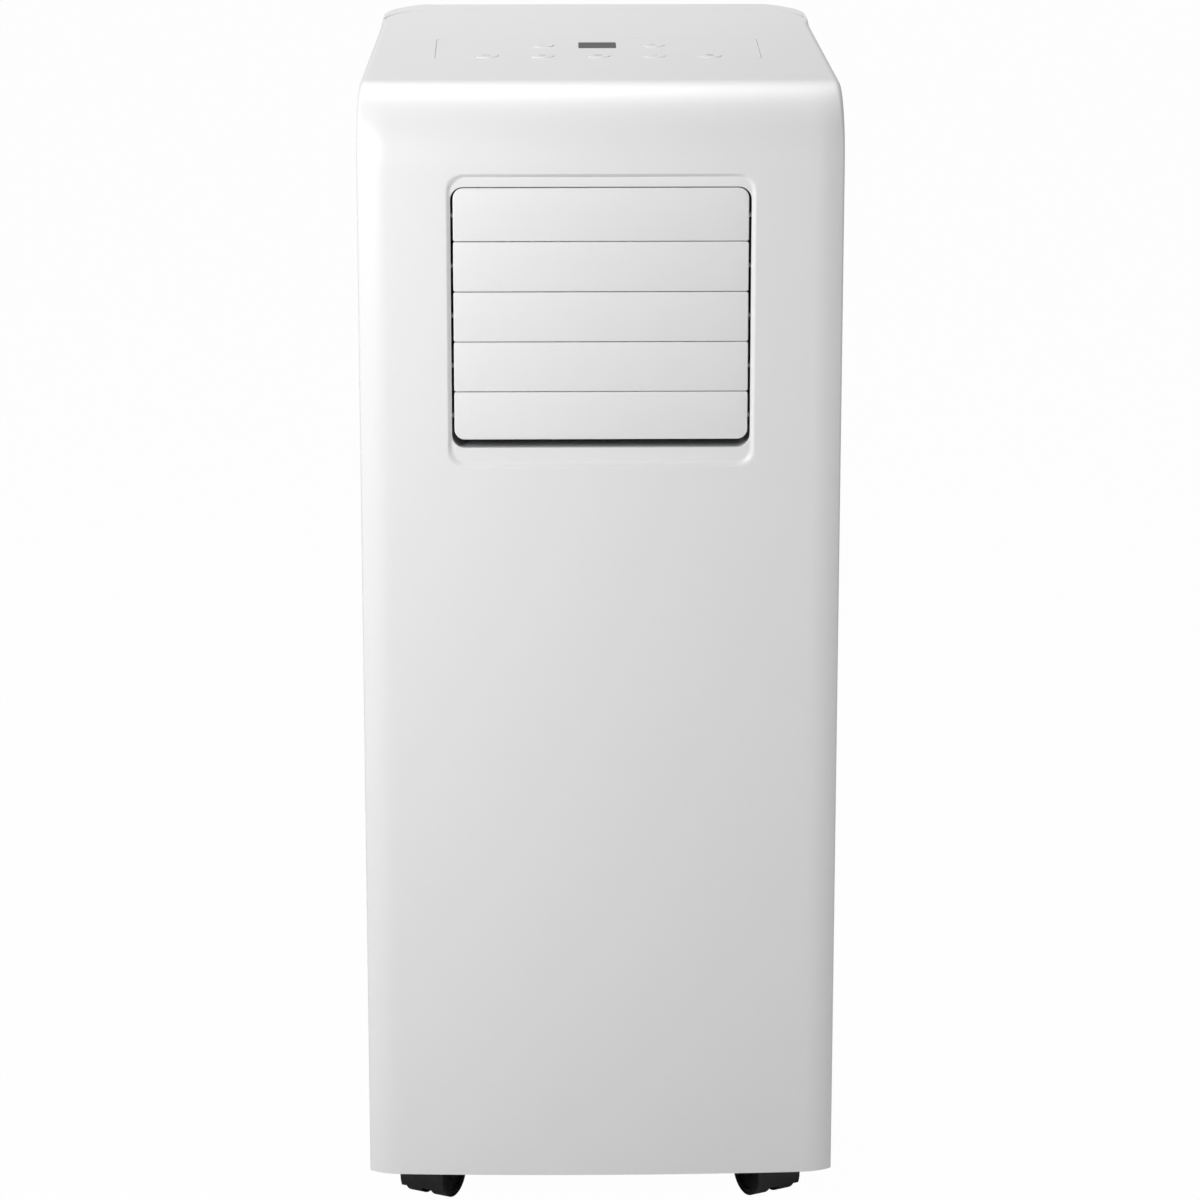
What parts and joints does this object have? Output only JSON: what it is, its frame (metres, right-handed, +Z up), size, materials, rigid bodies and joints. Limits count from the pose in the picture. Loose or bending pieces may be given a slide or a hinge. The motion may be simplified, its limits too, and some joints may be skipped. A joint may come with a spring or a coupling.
{
  "type": "portable air conditioner",
  "caption": "Upright portable air conditioner on castors with a five-slat louvre, top control panel, rear intakes and a round exhaust collar.",
  "frame": {"origin": "on the floor, under the middle of the casing", "axes": "+Z up, +X to the right as seen from the front, +Y to the rear; the louvre faces -Y"},
  "size_m": [0.2794, 0.3, 0.6996],
  "materials": {
    "white_plastic": "satin",
    "grey_plastic": "matte",
    "black_plastic": "satin",
    "display_glass": "gloss",
    "rubber": "matte",
    "black_paint": "satin",
    "plated_steel": "satin",
    "aluminium_fins": "satin",
    "copper": "satin",
    "board": "satin"
  },
  "bodies": {
    "casing": {"base_pan": "grey_plastic", "front_cover": "white_plastic", "rear_cover": "white_plastic", "partition": "grey_plastic", "louvre_frame": "grey_plastic", "air_duct": "grey_plastic", "blower_housing": "grey_plastic", "blower_motor": "plated_steel", "evaporator": "aluminium_fins", "evaporator_tray": "grey_plastic", "condenser": "aluminium_fins", "condenser_fan_housing": "grey_plastic", "condenser_fan_motor": "plated_steel", "exhaust_duct": "grey_plastic", "exhaust_collar": "white_plastic", "compressor": "black_paint", "compressor_feet": "rubber", "accumulator": "black_paint", "discharge_pipe": "copper", "suction_pipe": "copper", "capillary_tube": "copper", "electrical_box": "plated_steel", "electrical_cover": "plated_steel", "main_board": "board", "capacitor": "aluminium_fins", "control_panel": "white_plastic", "display_window": "display_glass", "display_board": "board", "lower_grille": "white_plastic", "cord_gland": "black_plastic", "handle_left": "white_plastic", "handle_right": "white_plastic", "casing_screws": "plated_steel"},
    "louvre_1": {"louvre_1": "white_plastic"},
    "louvre_2": {"louvre_2": "white_plastic"},
    "louvre_3": {"louvre_3": "white_plastic"},
    "louvre_4": {"louvre_4": "white_plastic"},
    "louvre_5": {"louvre_5": "white_plastic"},
    "louvre_link": {"louvre_link": "grey_plastic"},
    "blower": {"blower_wheel": "black_plastic"},
    "condenser_fan": {"condenser_fan_wheel": "black_plastic"},
    "button_plus": {"button_plus": "white_plastic"},
    "button_minus": {"button_minus": "white_plastic"},
    "button_1": {"button_1": "white_plastic"},
    "button_2": {"button_2": "white_plastic"},
    "button_3": {"button_3": "white_plastic"},
    "button_4": {"button_4": "white_plastic"},
    "button_5": {"button_5": "white_plastic"},
    "intake_grille": {"upper_grille": "white_plastic", "air_filter": "grey_plastic"},
    "drain_plug_upper": {"drain_plug_upper": "rubber"},
    "drain_plug_lower": {"drain_plug_lower": "rubber"},
    "castor_fl": {"castor_housing_fl": "black_plastic"},
    "wheels_fl": {"castor_wheel_fl": "black_plastic"},
    "castor_fr": {"castor_housing_fr": "black_plastic"},
    "wheels_fr": {"castor_wheel_fr": "black_plastic"},
    "castor_rl": {"castor_housing_rl": "black_plastic"},
    "wheels_rl": {"castor_wheel_rl": "black_plastic"},
    "castor_rr": {"castor_housing_rr": "black_plastic"},
    "wheels_rr": {"castor_wheel_rr": "black_plastic"}
  },
  "joints": [
    {"name": "louvre_1_turn", "type": "hinge", "parent": "casing", "child": "louvre_1", "pos_m": [0, -0.1407, 0.6111], "axis": [1, 0, 0], "range_deg": [0, 80]},
    {"name": "louvre_2_turn", "type": "hinge", "parent": "casing", "child": "louvre_2", "pos_m": [0, -0.1407, 0.5819], "axis": [1, 0, 0], "range_deg": [0, 80]},
    {"name": "louvre_3_turn", "type": "hinge", "parent": "casing", "child": "louvre_3", "pos_m": [0, -0.1407, 0.5527], "axis": [1, 0, 0], "range_deg": [0, 80]},
    {"name": "louvre_4_turn", "type": "hinge", "parent": "casing", "child": "louvre_4", "pos_m": [0, -0.1407, 0.5235], "axis": [1, 0, 0], "range_deg": [0, 80]},
    {"name": "louvre_5_turn", "type": "hinge", "parent": "casing", "child": "louvre_5", "pos_m": [0, -0.1407, 0.4943], "axis": [1, 0, 0], "range_deg": [0, 80]},
    {"name": "louvre_link_turn", "type": "hinge", "parent": "louvre_1", "child": "louvre_link", "pos_m": [-0.0935, -0.1317, 0.6111], "axis": [1, 0, 0], "range_deg": [-80, 0]},
    {"name": "blower_spin", "type": "hinge", "parent": "casing", "child": "blower", "pos_m": [0.006, -0.02, 0.424], "axis": [0, 1, 0], "continuous": true},
    {"name": "condenser_fan_spin", "type": "hinge", "parent": "casing", "child": "condenser_fan", "pos_m": [0.06, 0.016, 0.108], "axis": [0, 1, 0], "continuous": true},
    {"name": "button_plus_press", "type": "slide", "parent": "casing", "child": "button_plus", "axis": [0, 0.061, -0.9981], "range_m": [0, 0.0006], "stiffness_N_per_m": 600, "springref_m": -0.0004},
    {"name": "button_minus_press", "type": "slide", "parent": "casing", "child": "button_minus", "axis": [0, 0.061, -0.9981], "range_m": [0, 0.0006], "stiffness_N_per_m": 600, "springref_m": -0.0004},
    {"name": "button_1_press", "type": "slide", "parent": "casing", "child": "button_1", "axis": [0, 0.061, -0.9981], "range_m": [0, 0.0006], "stiffness_N_per_m": 600, "springref_m": -0.0004},
    {"name": "button_2_press", "type": "slide", "parent": "casing", "child": "button_2", "axis": [0, 0.061, -0.9981], "range_m": [0, 0.0006], "stiffness_N_per_m": 600, "springref_m": -0.0004},
    {"name": "button_3_press", "type": "slide", "parent": "casing", "child": "button_3", "axis": [0, 0.061, -0.9981], "range_m": [0, 0.0006], "stiffness_N_per_m": 600, "springref_m": -0.0004},
    {"name": "button_4_press", "type": "slide", "parent": "casing", "child": "button_4", "axis": [0, 0.061, -0.9981], "range_m": [0, 0.0006], "stiffness_N_per_m": 600, "springref_m": -0.0004},
    {"name": "button_5_press", "type": "slide", "parent": "casing", "child": "button_5", "axis": [0, 0.061, -0.9981], "range_m": [0, 0.0006], "stiffness_N_per_m": 600, "springref_m": -0.0004},
    {"name": "intake_grille_slide", "type": "slide", "parent": "casing", "child": "intake_grille", "axis": [0, 1, 0], "range_m": [0, 0.05]},
    {"name": "drain_plug_upper_pull", "type": "slide", "parent": "casing", "child": "drain_plug_upper", "axis": [0, 1, 0], "range_m": [0, 0.03]},
    {"name": "drain_plug_lower_pull", "type": "slide", "parent": "casing", "child": "drain_plug_lower", "axis": [0, 1, 0], "range_m": [0, 0.03]},
    {"name": "castor_fl_swivel", "type": "hinge", "parent": "casing", "child": "castor_fl", "pos_m": [-0.104, -0.114, 0.038], "axis": [0, 0, 1], "continuous": true},
    {"name": "castor_fl_roll", "type": "hinge", "parent": "castor_fl", "child": "wheels_fl", "pos_m": [-0.10118, -0.1087, 0.015], "axis": [0.8829, -0.4695, 0], "continuous": true},
    {"name": "castor_fr_swivel", "type": "hinge", "parent": "casing", "child": "castor_fr", "pos_m": [0.104, -0.114, 0.038], "axis": [0, 0, 1], "continuous": true},
    {"name": "castor_fr_roll", "type": "hinge", "parent": "castor_fr", "child": "wheels_fr", "pos_m": [0.10118, -0.1087, 0.015], "axis": [0.8829, 0.4695, 0], "continuous": true},
    {"name": "castor_rl_swivel", "type": "hinge", "parent": "casing", "child": "castor_rl", "pos_m": [-0.09, 0.11, 0.038], "axis": [0, 0, 1], "continuous": true},
    {"name": "castor_rl_roll", "type": "hinge", "parent": "castor_rl", "child": "wheels_rl", "pos_m": [-0.09282, 0.1047, 0.015], "axis": [-0.8829, 0.4695, 0], "continuous": true},
    {"name": "castor_rr_swivel", "type": "hinge", "parent": "casing", "child": "castor_rr", "pos_m": [0.09, 0.11, 0.038], "axis": [0, 0, 1], "continuous": true},
    {"name": "castor_rr_roll", "type": "hinge", "parent": "castor_rr", "child": "wheels_rr", "pos_m": [0.09282, 0.1047, 0.015], "axis": [-0.8829, -0.4695, 0], "continuous": true}
  ],
  "couplings": [
    {"joint": "louvre_2_turn", "follows": "louvre_1_turn", "ratio": 1},
    {"joint": "louvre_3_turn", "follows": "louvre_1_turn", "ratio": 1},
    {"joint": "louvre_4_turn", "follows": "louvre_1_turn", "ratio": 1},
    {"joint": "louvre_5_turn", "follows": "louvre_1_turn", "ratio": 1},
    {"joint": "louvre_link_turn", "follows": "louvre_1_turn", "ratio": -1}
  ]
}
